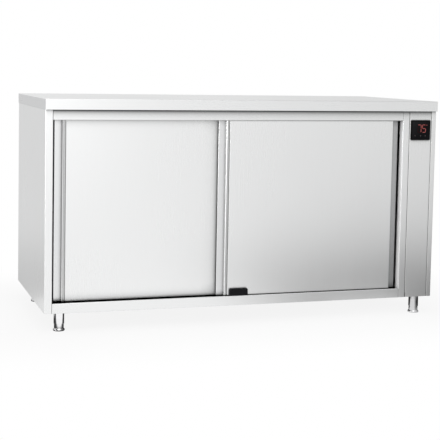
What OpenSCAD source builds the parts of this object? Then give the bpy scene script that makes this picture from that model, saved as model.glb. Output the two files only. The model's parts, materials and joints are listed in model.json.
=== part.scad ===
// Plate warmer cabinet: a heated, double-walled steel cupboard under a worktop, with two sliding
// doors on the left and a full-height control bay on the right.
// X runs to the right, Y to the back and Z up; the origin is on the floor under the centre.

/* [Cabinet] */
// Overall width, at the worktop
cabinet_w = 1600; // [1400:20:2000]
// Overall depth, at the worktop
cabinet_d = 700; // [680:10:800]
// Overall height, floor to worktop
cabinet_h = 870; // [850:5:950]
// Height of the worktop's edge
worktop_edge = 40; // [36:1:50]
// How far the worktop stands in front of the case
worktop_overhang = 10; // [6:1:20]
// Clear height between the floor and the case
foot_clearance = 70; // [68:1:90]
// Thickness of the case sheets
sheet = 1.5; // [1.2:0.1:2]
// Radius of a fold, at the middle of the sheet
fold_r = 1.75; // [1.2:0.05:2.5]
// Thickness of the double wall
wall = 30; // [28:1:40]

/* [Front] */
// Width of the left stile
stile_w = 29; // [25:1:40]
// Width of the post between the doors and the control bay
post_w = 29; // [28:1:40]
// Width of the control bay's opening
panel_w = 98; // [94:1:130]
// Width of the strip at the right of the control panel
strip_w = 20; // [18:1:30]
// Height of the rail over the doors
top_rail_h = 39; // [38:1:60]
// Height of the rail under the doors
bottom_rail_h = 37; // [36:1:50]
// How far the stiles and the post fold back into the case
return_d = 22; // [16:1:24]

/* [Doors] */
// Thickness of a door
door_t = 20; // [20:1:24]
// Thickness of a door's sheets
door_sheet = 1.2; // [1:0.1:1.4]
// Gap between the two doors, front to back
door_gap = 2; // [2:0.5:4]
// How far the front door's face lies behind the case front
door_setback = 10; // [9:1:14]
// How far the two closed doors overlap
door_overlap = 127; // [110:1:200]
// Gap at the outer edge of a closed door
door_end_gap = 11.5; // [8:0.5:14]
// Width of the recessed margin strip at each end of a door
margin_w = 28; // [20:1:40]
// How deep the margin strip lies behind the door's face
margin_d = 12.5; // [11:0.5:13]
// Width of the rounded hem bead at the grip edge
bead_w = 6.5; // [6.4:0.1:9]
// Width of the groove between the bead and the face
groove_w = 7.5; // [6:0.5:12]
// Depth of that groove
groove_d = 8; // [6:0.5:9]
// Distance of a roller's axle from the door's end
hanger_inset = 90; // [60:5:160]
// Radius of a roller in its groove
roller_groove_r = 8.5; // [8:0.1:9]
// Radius of a roller over its rims
roller_rim_r = 11; // [10.5:0.1:11.5]
// Width of the guide on the bottom rail
guide_w = 74.5; // [60:0.5:90]

/* [Inside] */
// Height of the chamber floor over the underside of the case
floor_rise = 40; // [38:1:50]
// Shelf position, counted in post slots from the bottom
shelf_slot = 11; // [6:1:16]
// Pitch of the slots in the shelf posts
slot_pitch = 25; // [20:1:30]
// Height of the shelf's folded edge
shelf_edge = 30; // [20:1:35]
// Depth of the air duct behind the baffle
duct_d = 62; // [60:1:80]
// Outer radius of the fan wheel
fan_r = 75; // [60:1:80]
// Number of blades on the fan wheel
fan_blades = 24; // [16:1:30]
// Radius of the heating element's ring
element_r = 96; // [92:1:110]
// Number of louvres in each block of the service cover
louvres = 9; // [4:1:12]

/* [Feet] */
// Distance of a foot's axis from the side of the worktop
foot_side = 62; // [60:1:90]
// Distance of the front feet from the worktop's front edge
foot_front = 40; // [40:1:60]
// Distance of the rear feet from the worktop's rear edge
foot_rear = 120; // [90:1:160]
// Radius of the fixed tube of a foot
foot_tube_r = 19.75; // [19:0.25:22]
// Radius of the flared base of a foot
foot_base_r = 22; // [21:0.5:26]

/* [Controller] */
// Width of the controller's glass
glass_w = 86; // [80:1:92]
// Height of the controller's glass
glass_h = 80; // [70:1:90]
// Distance of the glass from the top of the case
glass_drop = 36; // [20:1:80]

/* [Hidden] */
$fn = 64;

steel = "#c9cccf";
steel_dark = "#9fa3a8";
zinc = "#b4b9bd";
wool = "#d8cf9c";
black = "#1b1b1d";
white_plastic = "#eceae4";
grey_plastic = "#9a9ea2";
charcoal = "#2f3236";

half_w = cabinet_w / 2;
half_d = cabinet_d / 2;

// Case planes: the sides lie a little inside the worktop
case_left = 1 - half_w;
case_right = half_w - 1;
case_front = worktop_overhang - half_d;
case_back = half_d - 2;
case_bottom = foot_clearance;
case_top = cabinet_h - worktop_edge;
skin_back = case_back - sheet;

// Returns and flanges of the case sheets
worktop_return = 18;
carry_flange = 22;
rear_return = 25;
bay_flange = 40;
// Gap left between two sheets of the case that end side by side
sheet_gap = 2;
stiffener_h = 24;
stiffener_inset = 12;
stiffener_pitch = cabinet_d / 3.2;
hat_half = 45;
hat_web_half = 25;
rail_lip = 9;

// Door opening and control bay
opening_left = case_left + stile_w;
panel_right = case_right - strip_w;
panel_left = panel_right - panel_w;
opening_right = panel_left - post_w;
opening_bottom = case_bottom + bottom_rail_h;
opening_top = case_top - top_rail_h;

// Doors
door_pitch = door_t + door_gap;
front_door_y = case_front + door_setback;
rear_door_y = front_door_y + door_pitch;
door_w = (opening_right - opening_left - 2 * door_end_gap + door_overlap) / 2;
left_door_x = opening_left + door_end_gap;
right_door_x = opening_right - door_end_gap - door_w;
door_bottom = opening_bottom + 2;
track_top = case_top - sheet;
door_top = track_top - 33.5;
bead_right = margin_w + bead_w;
face_left = bead_right + groove_w;

// Running gear, in the depth of one door from its face
hanger_w = 40;
hanger_t = 3;
hanger_drop = 45;
axle_r = 3;
roller_y0 = 8;
roller_y1 = 15;
lip_y = (roller_y0 + roller_y1) / 2;
axle_z = track_top - 13.5;
running_gap = 0.3;
lip_top = axle_z - roller_groove_r - running_gap;
hook_z = door_top + 2.5;
hook_y = 18.5;
hanger_stations = [hanger_inset, door_w - hanger_inset];

// Chamber
chamber_left = case_left + wall;
chamber_back = case_back - wall;
chamber_front = rear_door_y + door_t + 5;
chamber_bottom = case_bottom + floor_rise;
chamber_top = door_top + 2;
trough_z = chamber_bottom - 14.5;
baffle_x = opening_right - duct_d;
shelf_post_d = 12;
shelf_post_bottom = chamber_bottom + 20;
shelf_post_top = chamber_top - 17;
slot_count = floor((shelf_post_top - shelf_post_bottom) / slot_pitch) - 1;
slot_z0 = shelf_post_bottom;
clip_z = slot_z0 + slot_pitch * shelf_slot;
shelf_bottom = clip_z + 5;
shelf_post_ys = [chamber_front + 53, chamber_back - 38];

// Hot air unit: axis along X
fan_y = 20;
fan_z = case_bottom + 530;
shaft_r = 4;
rotor_r = 16;
element_tube_r = 4.25;
element_x = baffle_x + 32;
wheel_front_x = baffle_x + 16;
wheel_depth = 34;
motor_x = panel_left + 12;
stack_t = 30;
lead_angle = 16;

// Wiring in the control bay
duct_side = 30;
duct_wall = 1.5;
duct_slot_pitch = 14;
duct_z = case_bottom + 230;
duct_y0 = -190;
duct_slots = 24;
terminal_pitch = 14;
terminal_ways = 6;
terminal_y = -90;
terminal_top = case_bottom + 164;
wire_r = 1.6;
thermostat = [-60, case_bottom + 330];
tab_y = 13;
contactor_at = [110, case_bottom + 300];
function contactor_way(way) = 6.5 + way * 10.7;

foot_xs = [foot_side - half_w, half_w - foot_side];
foot_ys = [foot_front - half_d, half_d - foot_rear];
foot_tube_bottom = 27;
foot_neck_r = 18.2;
foot_stem_r = 5;
foot_stud_r = 8;
base_edge = 20;
gland = [panel_left + 49, 120];
gland_r = 10;
probe = [-150, fan_z + 50];

bend_steps = 4;
// What a square corner keeps clear of the inside of a fold
fold_gap = 1.2;

// ---- Sheet metal helpers ----

function unit(v) = v / norm(v);
function left_normal(v) = [-v[1], v[0]];
function turned(v, angle) = [v[0] * cos(angle) - v[1] * sin(angle), v[0] * sin(angle) + v[1] * cos(angle)];
function flat(p) = [p[0], p[1]];
function reversed(list) = [for (i = [len(list) - 1 : -1 : 0]) list[i]];

// Points along one side of the fold at b, between a and c; side is the offset to the left
function fold_side(a, b, c, radius, side) =
    let (
        into = unit(b - a),
        out = unit(c - b),
        turn = sign(cross(into, out)),
        angle = acos(into * out),
        start = b - into * radius * tan(angle / 2),
        centre = start + left_normal(into) * turn * radius,
        spoke = (start - centre) / radius * (radius - turn * side)
    )
    [for (i = [0 : bend_steps]) centre + turned(spoke, turn * angle * i / bend_steps)];

// One side of a folded sheet; path is its middle line, and a third value on a point is that fold's radius
function sheet_side(path, radius, side) =
    let (last = len(path) - 1)
    concat(
        [flat(path[0]) + left_normal(unit(flat(path[1]) - flat(path[0]))) * side],
        [for (i = [1 : last - 1])
            each fold_side(flat(path[i - 1]), flat(path[i]), flat(path[i + 1]),
                len(path[i]) > 2 ? path[i][2] : radius, side)],
        [flat(path[last]) + left_normal(unit(flat(path[last]) - flat(path[last - 1]))) * side]
    );

module folded_outline(path, t, radius) {
    polygon(concat(sheet_side(path, radius, t / 2), reversed(sheet_side(path, radius, -t / 2))));
}

// Folded sheet that stands upright: path holds X and Y
module upright_sheet(path, z0, z1, t = sheet, radius = fold_r) {
    translate([0, 0, z0]) linear_extrude(z1 - z0) folded_outline(path, t, radius);
}

// Folded sheet that runs across the cabinet: path holds Y and Z
module crosswise_sheet(path, x0, x1, t = sheet, radius = fold_r) {
    translate([x0, 0, 0]) rotate([90, 0, 90]) linear_extrude(x1 - x0) folded_outline(path, t, radius);
}

module block(low, high) {
    translate(low) cube(high - low);
}

// Rectangle whose upper two corners are rounded
function arch(x0, x1, y0, y1, r) = concat(
    [[x0, y0], [x1, y0]],
    [for (i = [0 : bend_steps]) [x1 - r, y1 - r] + r * [cos(90 * i / bend_steps), sin(90 * i / bend_steps)]],
    [for (i = [0 : bend_steps]) [x0 + r, y1 - r] + r * [-sin(90 * i / bend_steps), cos(90 * i / bend_steps)]]
);

// Block whose four upper edges are rounded
module cushion_block(low, high, r) {
    intersection() {
        translate([low[0], 0, 0]) rotate([90, 0, 90]) linear_extrude(high[0] - low[0])
            polygon(arch(low[1], high[1], low[2], high[2], r));
        translate([0, high[1], 0]) rotate([90, 0, 0]) linear_extrude(high[1] - low[1])
            polygon(arch(low[0], high[0], low[2], high[2], r));
    }
}

// Tray of folded sheet, open below, with a return of the given width all round its lower edge
module tray(low, high, return_w, t = sheet, r = fold_r) {
    inner = [t, t, t];
    difference() {
        cushion_block(low, high, r + t / 2);
        cushion_block(low + [t, t, -1], high - inner, r - t / 2);
    }
    difference() {
        block(low, [high[0], high[1], low[2] + t]);
        block(low + [return_w, return_w, -1], [high[0] - return_w, high[1] - return_w, low[2] + t + 1]);
    }
}

// Hat section that runs across the cabinet and hangs from z; path holds Y and Z
function hat(y, z, h) = [
    [y - hat_half, z - sheet / 2], [y - hat_web_half, z - sheet / 2], [y - hat_web_half, z - h + sheet / 2],
    [y + hat_web_half, z - h + sheet / 2], [y + hat_web_half, z - sheet / 2], [y + hat_half, z - sheet / 2]];

// Round bar along X between two planes
module x_bar(x0, x1, y, z, r) {
    translate([x0, y, z]) rotate([0, 90, 0]) cylinder(h = x1 - x0, r = r);
}

// ---- Case ----

module worktop() {
    color(steel) tray([-half_w, -half_d, case_top], [half_w, half_d, cabinet_h], worktop_return);
}

module worktop_stiffeners() {
    color(steel_dark)
        for (row = [-1 : 1])
            crosswise_sheet(hat(row * stiffener_pitch, cabinet_h - sheet, stiffener_h),
                stiffener_inset - half_w, half_w - stiffener_inset);
}

// Outer skin of one side; seen in plan it folds round into the stile in front and a narrow return behind
module side_skin(side, outer, inner) {
    upright_sheet([
        [inner + side * sheet / 2, case_front + return_d],
        [inner + side * sheet / 2, case_front + sheet / 2],
        [outer - side * sheet / 2, case_front + sheet / 2],
        [outer - side * sheet / 2, skin_back - sheet / 2],
        [outer - side * rear_return, skin_back - sheet / 2]
    ], case_bottom, case_top);
    // Top return that carries the worktop
    flange = [outer - side * sheet, outer - side * carry_flange];
    block([min(flange), case_front + return_d + sheet_gap, case_top - sheet],
        [max(flange), skin_back - sheet, case_top]);
}

module left_side_panel() {
    color(steel) side_skin(-1, case_left, opening_left);
}

module right_side_panel() {
    color(steel)
        difference() {
            side_skin(1, case_right, panel_right);
            cover_screw_holes(2.05);
        }
}

// Flat skin whose upper edge folds in between the side panel's return and the control bay
module rear_panel() {
    top = case_top - sheet_gap;
    color(steel) {
        block([case_left + sheet, skin_back, case_bottom], [cover_x0 - 1, case_back, top]);
        crosswise_sheet([
            [case_back - carry_flange, top - sheet / 2],
            [case_back - sheet / 2, top - sheet / 2],
            [case_back - sheet / 2, case_bottom]
        ], case_left + rear_return + sheet_gap, panel_left - bay_flange - sheet_gap);
    }
}

module base_pan() {
    color(steel)
        difference() {
            low = [case_left + sheet, case_front + sheet, case_bottom];
            high = [case_right - sheet, skin_back - sheet - fold_gap, case_bottom + base_edge];
            block(low, high);
            block(low + [sheet, sheet, sheet], high + [-sheet, -sheet, 1]);
            // The stile, the post and the right strip pass through the front edge
            for (x = [[case_left, opening_left + 0.5], [opening_right - 0.5, panel_left + 0.5], [panel_right - 0.5, case_right]])
                block([x[0], case_front, case_bottom - 1], [x[1], case_front + return_d + 0.5, case_bottom + base_edge + 1]);
            foot_holes(foot_stud_r + 0.5);
            translate([gland[0], gland[1], case_bottom - 1]) cylinder(h = 4, r = gland_r + 0.3);
        }
}

module foot_holes(r) {
    for (x = foot_xs, y = foot_ys)
        translate([x, y, case_bottom - 1]) cylinder(h = 60, r = r);
}

module top_rail() {
    color(steel)
        crosswise_sheet([
            [case_front + rail_lip - 2.25, opening_top + rail_lip],
            [case_front + rail_lip - 2.25, opening_top + sheet / 2],
            [case_front + sheet / 2, opening_top + sheet / 2],
            [case_front + sheet / 2, case_top - sheet / 2],
            [rear_door_y + hook_y + 0.5, case_top - sheet / 2]
        ], opening_left + 0.1, opening_right - 0.1);
}

module bottom_rail() {
    color(steel)
        crosswise_sheet([
            [case_front + sheet / 2, case_bottom],
            [case_front + sheet / 2, opening_bottom - sheet / 2],
            [case_front + rail_lip - 0.25, opening_bottom - sheet / 2],
            [case_front + rail_lip - 0.25, trough_z - sheet / 2],
            [chamber_front - 1.5, trough_z - sheet / 2],
            [chamber_front - 1.5, chamber_bottom - 4]
        ], opening_left + 0.1, opening_right - 0.1);
}

// Two hooks that share one folded strip; each hook's lip carries one door's rollers
module door_track() {
    front = front_door_y;
    rear = rear_door_y;
    web = track_top - sheet / 2;
    color(zinc)
        crosswise_sheet([
            [front + lip_y, lip_top], [front + lip_y, hook_z], [front + hook_y, hook_z], [front + hook_y, web],
            [rear + hook_y, web], [rear + hook_y, hook_z], [rear + lip_y, hook_z], [rear + lip_y, lip_top]
        ], opening_left + 0.5, opening_right - 0.5);
}

// Rubber blocks in the hooks, which catch the outer rollers at the ends of the travel
module track_stops() {
    gap = 1.5;
    left = left_door_x + hanger_inset - roller_rim_r - gap;
    right = right_door_x + door_w - hanger_inset + roller_rim_r + gap;
    color(black)
        for (y = [front_door_y, rear_door_y], x = [left - 20, right])
            block([x, y + lip_y + sheet / 2, hook_z + sheet / 2 + fold_gap], [x + 20, y + hook_y - sheet / 2, axle_z + 4]);
}

// Guide on the bottom rail: three fins keep the lower edges of both doors in line
module door_guide() {
    play = 0.4;
    corner_r = 6;
    lip_h = 28;
    middle_fin_h = 19;
    rear_fin_h = 21;
    fin_t = 2.2;
    trough_front = case_front + rail_lip - 0.05 + sheet / 2;
    front_fin = [case_front + 1, front_door_y - play];
    rear_fin = [rear_door_y + door_t + play, rear_door_y + door_t + play + fin_t];
    mid = front_door_y + door_t;
    base_top = door_bottom - play;
    right = left_door_x + door_w - 3;
    left = right - guide_w;
    color(black) {
        // Front lip, round at its upper corners
        translate([0, front_fin[1], 0]) rotate([90, 0, 0]) linear_extrude(front_fin[1] - front_fin[0])
            polygon(arch(left, right, opening_bottom, opening_bottom + lip_h, corner_r));
        // Bridge under the front door and the base in the trough
        block([left, front_fin[0], opening_bottom], [right, front_door_y + 2, base_top]);
        block([left, trough_front, trough_z + fold_gap], [right, rear_fin[1], base_top]);
        block([left, trough_front + fold_gap, trough_z], [right, rear_fin[1] - fold_gap, base_top]);
        block([left, mid + play, trough_z], [right, mid + door_gap - play, opening_bottom + middle_fin_h]);
        translate([0, rear_fin[1], 0]) rotate([90, 0, 0]) linear_extrude(rear_fin[1] - rear_fin[0])
            polygon(arch(left, right, trough_z + fold_gap, opening_bottom + rear_fin_h, corner_r));
    }
}

// ---- Double wall and chamber ----

module left_liner() {
    color(zinc)
        upright_sheet([
            [case_left + sheet + 1, chamber_front + sheet / 2],
            [chamber_left - sheet / 2, chamber_front + sheet / 2],
            [chamber_left - sheet / 2, chamber_back]
        ], case_bottom + base_edge + 2, case_top - 4);
}

module rear_liner() {
    color(zinc)
        block([chamber_left - sheet, chamber_back, case_bottom + sheet],
            [opening_right, chamber_back + sheet, case_top - 4]);
}

// Holes that the hot air unit needs through the double wall
module air_unit_holes(shaft_hole_r, lead_hole_r) {
    x_bar(opening_right - 5, panel_left + 5, fan_y, fan_z, shaft_hole_r);
    for (end = [-1, 1])
        x_bar(opening_right - 5, panel_left + 5, fan_y + end * element_r * sin(lead_angle),
            fan_z - element_r * cos(lead_angle), lead_hole_r);
    x_bar(opening_right - 5, panel_left + 5, probe[0], probe[1], lead_hole_r);
}

// Chamber wall on the control side, folded round in front into the post
module partition() {
    color(steel)
        difference() {
            upright_sheet([
                [panel_left - sheet / 2, case_front + return_d],
                [panel_left - sheet / 2, case_front + sheet / 2],
                [opening_right + sheet / 2, case_front + sheet / 2],
                [opening_right + sheet / 2, chamber_back]
            ], case_bottom, case_top);
            for (z = [[case_bottom - 1, case_bottom + sheet], [case_top - 3, case_top + 1]])
                block([opening_right - 1, case_front + return_d, z[0]], [opening_right + 5, chamber_back + 1, z[1]]);
            air_unit_holes(8, 6);
        }
}

module bay_liner() {
    color(zinc)
        difference() {
            upright_sheet([
                [panel_left - bay_flange, skin_back - sheet / 2],
                [panel_left - sheet / 2, skin_back - sheet / 2],
                [panel_left - sheet / 2, case_front + return_d + sheet_gap]
            ], case_bottom + base_edge + 2, case_top - 6);
            air_unit_holes(12, 6);
            cover_screw_holes(2.05);
        }
}

module chamber_roof() {
    color(zinc)
        crosswise_sheet([
            [chamber_front + sheet / 2, case_top - 4],
            [chamber_front + sheet / 2, chamber_top + sheet / 2],
            [chamber_back - sheet / 2, chamber_top + sheet / 2],
            [chamber_back - sheet / 2, chamber_top - 12]
        ], chamber_left, opening_right);
}

module chamber_floor() {
    color(zinc)
        crosswise_sheet([
            [chamber_front + sheet / 2, trough_z],
            [chamber_front + sheet / 2, chamber_bottom - sheet / 2],
            [chamber_back - sheet / 2, chamber_bottom - sheet / 2],
            [chamber_back - sheet / 2, chamber_bottom + 14]
        ], chamber_left, opening_right);
}

// Mineral wool mats in the left, rear and control-side walls
module wall_insulation() {
    z0 = case_bottom + base_edge + 3;
    z1 = case_top - 5;
    y0 = chamber_front + sheet + 1;
    y1 = skin_back - sheet - 7;
    color(wool) {
        block([case_left + sheet + 0.2, y0, z0], [chamber_left - sheet - 0.2, y1, z1]);
        block([chamber_left, chamber_back + sheet + 0.2, z0], [opening_right, y1, z1]);
        difference() {
            block([opening_right + sheet + 0.2, y0, z0], [panel_left - sheet - 0.2, y1, z1]);
            air_unit_holes(12, 7);
        }
    }
}

module roof_insulation() {
    color(wool)
        block([chamber_left, chamber_front + sheet + 1, chamber_top + sheet + 0.2],
            [opening_right, chamber_back - 1, case_top - 5]);
}

module floor_insulation() {
    color(wool)
        difference() {
            block([chamber_left, chamber_front + sheet + 1, case_bottom + sheet + 0.2],
                [opening_right, chamber_back - 1, chamber_bottom - sheet - 0.2]);
            for (x = foot_xs, y = foot_ys)
                block([x - 50, y - 32, case_bottom], [x + 50, y + 32, case_bottom + 22]);
        }
}

// ---- Shelf ----

module shelf() {
    color(steel)
        tray([chamber_left + shelf_post_d + 2, chamber_front + 25, shelf_bottom],
            [baffle_x - shelf_post_d - 3, chamber_back - 10, shelf_bottom + shelf_edge], 14);
}

module shelf_stiffener() {
    y = (chamber_front + chamber_back) / 2;
    color(steel_dark)
        crosswise_sheet(hat(y, shelf_bottom + shelf_edge - sheet, shelf_edge - 8),
            chamber_left + shelf_post_d + 20, baffle_x - shelf_post_d - 20);
}

// Upright channel with a row of slots; side is 1 where it stands on the left wall
module shelf_post(x, y, side) {
    half = 15;
    face = x + side * (shelf_post_d - sheet / 2);
    difference() {
        upright_sheet([
            [x, y - half + sheet / 2], [face, y - half + sheet / 2], [face, y + half - sheet / 2], [x, y + half - sheet / 2]
        ], shelf_post_bottom - 15, shelf_post_top);
        for (i = [0 : slot_count])
            translate([face, y, slot_z0 + i * slot_pitch]) cube([5, 12, 5], center = true);
    }
}

module shelf_posts() {
    color(steel_dark)
        for (y = shelf_post_ys) {
            shelf_post(chamber_left, y, 1);
            shelf_post(baffle_x, y, -1);
        }
}

// Angle clip that hooks into a slot and carries one corner of the shelf
module shelf_clip(x, y, side) {
    reach = [x, x + side * 24];
    back = [x, x + side * 2];
    tongue = [x - side * 4, x];
    block([min(reach), y - 13, shelf_bottom - 2], [max(reach), y + 13, shelf_bottom]);
    block([min(back), y - 13, shelf_bottom - 22], [max(back), y + 13, shelf_bottom]);
    block([min(tongue), y - 5, clip_z - 2], [max(tongue), y + 5, clip_z + 2]);
}

module shelf_clips() {
    color(zinc)
        for (y = shelf_post_ys) {
            shelf_clip(chamber_left + shelf_post_d, y, 1);
            shelf_clip(baffle_x - shelf_post_d, y, -1);
        }
}

// ---- Hot air unit ----

// Intake slots form a round grille in front of the fan; outlet slots run up both edges
module baffle_slots() {
    intake_r = fan_r + 8;
    pitch = 13;
    rows = floor(intake_r / pitch);
    for (i = [-rows : rows]) {
        half_slot = sqrt(intake_r * intake_r - i * i * pitch * pitch);
        if (half_slot > 8)
            block([baffle_x - 1, fan_y - half_slot, fan_z + i * pitch - 3],
                [baffle_x + sheet + 1, fan_y + half_slot, fan_z + i * pitch + 3]);
    }
    for (y = [chamber_front + 95, chamber_back - 95], z = [chamber_bottom + 40 : 20 : chamber_top - 40])
        if (abs(z - shelf_bottom - shelf_edge / 2) > 28)
            block([baffle_x - 1, y - 22, z - 3], [baffle_x + sheet + 1, y + 22, z + 3]);
}

module air_baffle() {
    z0 = chamber_bottom + 8;
    z1 = chamber_top - 15;
    y0 = chamber_front + 18;
    y1 = chamber_back - 14;
    color(steel)
        difference() {
            union() {
                upright_sheet([
                    [opening_right, y0 + sheet / 2], [baffle_x + sheet / 2, y0 + sheet / 2],
                    [baffle_x + sheet / 2, y1 - sheet / 2], [opening_right, y1 - sheet / 2]
                ], z0, z1);
                block([baffle_x + sheet / 2, y0 + sheet / 2, z0], [opening_right, y1 - sheet / 2, z0 + sheet]);
                block([baffle_x + sheet / 2, y0 + sheet / 2, z1 - sheet], [opening_right, y1 - sheet / 2, z1]);
            }
            baffle_slots();
        }
}

// Tubular element bent to a ring round the fan wheel, with both ends led out through the wall
module heating_element() {
    color(steel_dark) {
        translate([element_x, fan_y, fan_z]) rotate([0, 90, 0]) rotate([0, 0, lead_angle])
            rotate_extrude(angle = 360 - 2 * lead_angle) translate([element_r, 0]) circle(r = element_tube_r);
        for (end = [-1, 1]) {
            y = fan_y + end * element_r * sin(lead_angle);
            z = fan_z - element_r * cos(lead_angle);
            translate([element_x, y, z]) sphere(r = element_tube_r + 0.6);
            x_bar(element_x, panel_left + 14, y, z, element_tube_r - 0.25);
            x_bar(panel_left + 14, panel_left + 26, y, z, 2);
            // Nut that holds the sheath on the bay wall
            translate([panel_left, y, z]) rotate([0, 90, 0]) cylinder(h = 5, r = 9, $fn = 6);
        }
    }
}

// Shaded-pole motor: laminated stack, coil, two bearing brackets and four pillars to the wall
module fan_motor() {
    rear_x = motor_x + stack_t;
    stack_half = 32;
    limb_top = 60;
    pillar = 24;
    bracket_t = 2;
    bracket_half = 28;
    bracket_w = 8;
    bearing_r = 9;
    coil_half = 19;
    coil_z = [36, 70];
    coil_over = 6;
    color(zinc)
        difference() {
            union() {
                for (y = [-pillar, pillar], z = [-pillar, pillar])
                    x_bar(panel_left, rear_x + 8, fan_y + y, fan_z + z, 3);
                block([motor_x, fan_y - stack_half, fan_z - stack_half],
                    [rear_x, fan_y + stack_half, fan_z + limb_top]);
                // Bearing brackets in front of and behind the stack
                for (x = [motor_x - 3 - bracket_t, rear_x + 3]) {
                    block([x, fan_y - bracket_half, fan_z - bearing_r], [x + bracket_t, fan_y + bracket_half, fan_z + bearing_r]);
                    for (y = [-bracket_half, bracket_half - bracket_w])
                        block([x, fan_y + y, fan_z - bracket_half], [x + bracket_t, fan_y + y + bracket_w, fan_z + bracket_half]);
                    x_bar(x - bracket_t, x + 2 * bracket_t, fan_y, fan_z, bearing_r);
                }
                // Coil round the upper limb of the stack
                block([motor_x - coil_over, fan_y - coil_half, fan_z + coil_z[0]],
                    [rear_x + coil_over, fan_y + coil_half, fan_z + coil_z[1]]);
            }
            x_bar(motor_x - 0.01, rear_x + 0.01, fan_y, fan_z, rotor_r + 0.4);
            x_bar(motor_x - 20, rear_x + 20, fan_y, fan_z, shaft_r + 0.05);
        }
}

module motor_rotor() {
    color(steel_dark)
        difference() {
            x_bar(motor_x + 1, motor_x + stack_t - 1, fan_y, fan_z, rotor_r);
            x_bar(motor_x, motor_x + stack_t, fan_y, fan_z, shaft_r);
        }
}

module fan_shaft() {
    color(steel) x_bar(wheel_front_x + 8, motor_x + stack_t + 14, fan_y, fan_z, shaft_r);
}

// Radial wheel: back plate, raked blades, front ring and hub
module fan_wheel() {
    back_x = wheel_front_x + wheel_depth;
    inner_r = fan_r - 26;
    color(steel)
        difference() {
            union() {
                x_bar(back_x - 1.5, back_x, fan_y, fan_z, fan_r);
                difference() {
                    x_bar(wheel_front_x, wheel_front_x + 1.5, fan_y, fan_z, fan_r);
                    x_bar(wheel_front_x - 1, wheel_front_x + 3, fan_y, fan_z, inner_r);
                }
                x_bar(back_x - 20, back_x, fan_y, fan_z, 11);
                for (i = [0 : fan_blades - 1])
                    translate([wheel_front_x + 0.5, fan_y, fan_z]) rotate([360 * i / fan_blades, 0, 0])
                        translate([0, 0, inner_r + 1]) rotate([25, 0, 0])
                            cube([wheel_depth - 1, 1.2, 23]);
            }
            x_bar(wheel_front_x - 1, back_x + 1, fan_y, fan_z, shaft_r);
        }
}

module temperature_probe() {
    color(steel) {
        x_bar(baffle_x + 14, panel_left + 16, probe[0], probe[1], 3);
        x_bar(panel_left, panel_left + 6, probe[0], probe[1], 8);
        translate([panel_left + 6, probe[0], probe[1]]) rotate([0, 90, 0]) cylinder(h = 5, r = 7, $fn = 6);
    }
}

// ---- Control bay ----

// Limiter with a reset button, on a plate on the bay wall
module safety_thermostat() {
    y = thermostat[0];
    z = thermostat[1];
    plate = [panel_left, panel_left + 2];
    body = [plate[1], panel_left + 24];
    button = [body[1] + 10, body[1] + 14];
    color(black) {
        block([plate[0], y - 28, z - 10], [plate[1], y + 28, z + 10]);
        x_bar(body[0], body[1], y, z, 17);
        x_bar(body[1], button[0], y, z, 9);
        x_bar(button[0], button[1], y, z, 4);
        for (end = [-1, 1])
            block([body[1], y + end * tab_y - 3, z - 0.5], [body[1] + 9, y + end * tab_y + 3, z + 0.5]);
    }
}

// Contactor with a stepped housing and a row of terminals along both long edges
module contactor() {
    y = contactor_at[0];
    z = contactor_at[1];
    size = [45, 45, 76];
    crown = [27, 45, 48];
    terminal_r = 3.2;
    color(charcoal)
        difference() {
            union() {
                block([panel_left, y, z], [panel_left, y, z] + size);
                translate([panel_left + size[0], y, z + (size[2] - crown[2]) / 2]) cube(crown);
            }
            for (way = [0 : 3], end = [6, size[2] - 6])
                translate([panel_left + size[0] - 7, y + contactor_way(way), z + end]) rotate([0, 90, 0])
                    cylinder(h = 10, r = terminal_r);
        }
}

module terminal_block() {
    z0 = terminal_top - 34;
    foot_t = 10;
    body_t = 26;
    color(white_plastic)
        difference() {
            union() {
                block([panel_left, terminal_y, z0],
                    [panel_left + foot_t, terminal_y + terminal_ways * terminal_pitch, terminal_top]);
                for (way = [0 : terminal_ways - 1])
                    block([panel_left + foot_t, terminal_y + way * terminal_pitch + 1.5, z0 + 3],
                        [panel_left + body_t, terminal_y + (way + 1) * terminal_pitch - 1.5, terminal_top - 3]);
            }
            for (way = [0 : terminal_ways - 1], end = [10, 24])
                x_bar(panel_left + body_t - 10, panel_left + body_t + 4, terminal_y + (way + 0.5) * terminal_pitch, z0 + end, 3);
        }
}

// Middle of a slot in the duct; slot 0 stands over the first way of the terminal block
function duct_slot_y(slot) = terminal_y + (slot + 0.5) * terminal_pitch;

// Comb-sided duct across the bay wall, closed by its lid
module wiring_duct() {
    low = [panel_left, duct_y0, duct_z];
    high = low + [duct_side, (duct_slots + 0.3) * duct_slot_pitch, duct_side];
    first = -7;
    color(grey_plastic) {
        difference() {
            block(low, high);
            block(low + [duct_wall, -1, duct_wall], high + [1, 1, -duct_wall]);
            for (slot = [first : first + duct_slots - 1])
                block([low[0] + 8, duct_slot_y(slot) - 3, low[2] - 1], [high[0] + 1, duct_slot_y(slot) + 3, high[2] + 1]);
        }
        block([high[0], low[1], low[2] - 1], [high[0] + 1.5, high[1], high[2] + 1]);
    }
}

// Wire along a list of points, with a round knuckle at each bend
module wire(points, r = wire_r) {
    for (i = [0 : len(points) - 2]) {
        span = points[i + 1] - points[i];
        translate(points[i]) rotate([0, acos(span[2] / norm(span)), atan2(span[1], span[0])])
            cylinder(h = norm(span), r = r);
        if (i > 0)
            translate(points[i]) sphere(r = r + 0.4);
    }
}

// Wire from a terminal down or up to the bundle in the duct, through the given slot
module lead(start, slot) {
    x = panel_left + 18;
    inside = duct_z + duct_side / 2;
    outside = start[2] > duct_z ? duct_z + duct_side + 8 : duct_z - 8;
    bend = outside + sign(outside - inside) * 12;
    wire([start, [start[0], start[1], bend], [x, duct_slot_y(slot), outside], [x, duct_slot_y(slot), inside]]);
}

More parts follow.
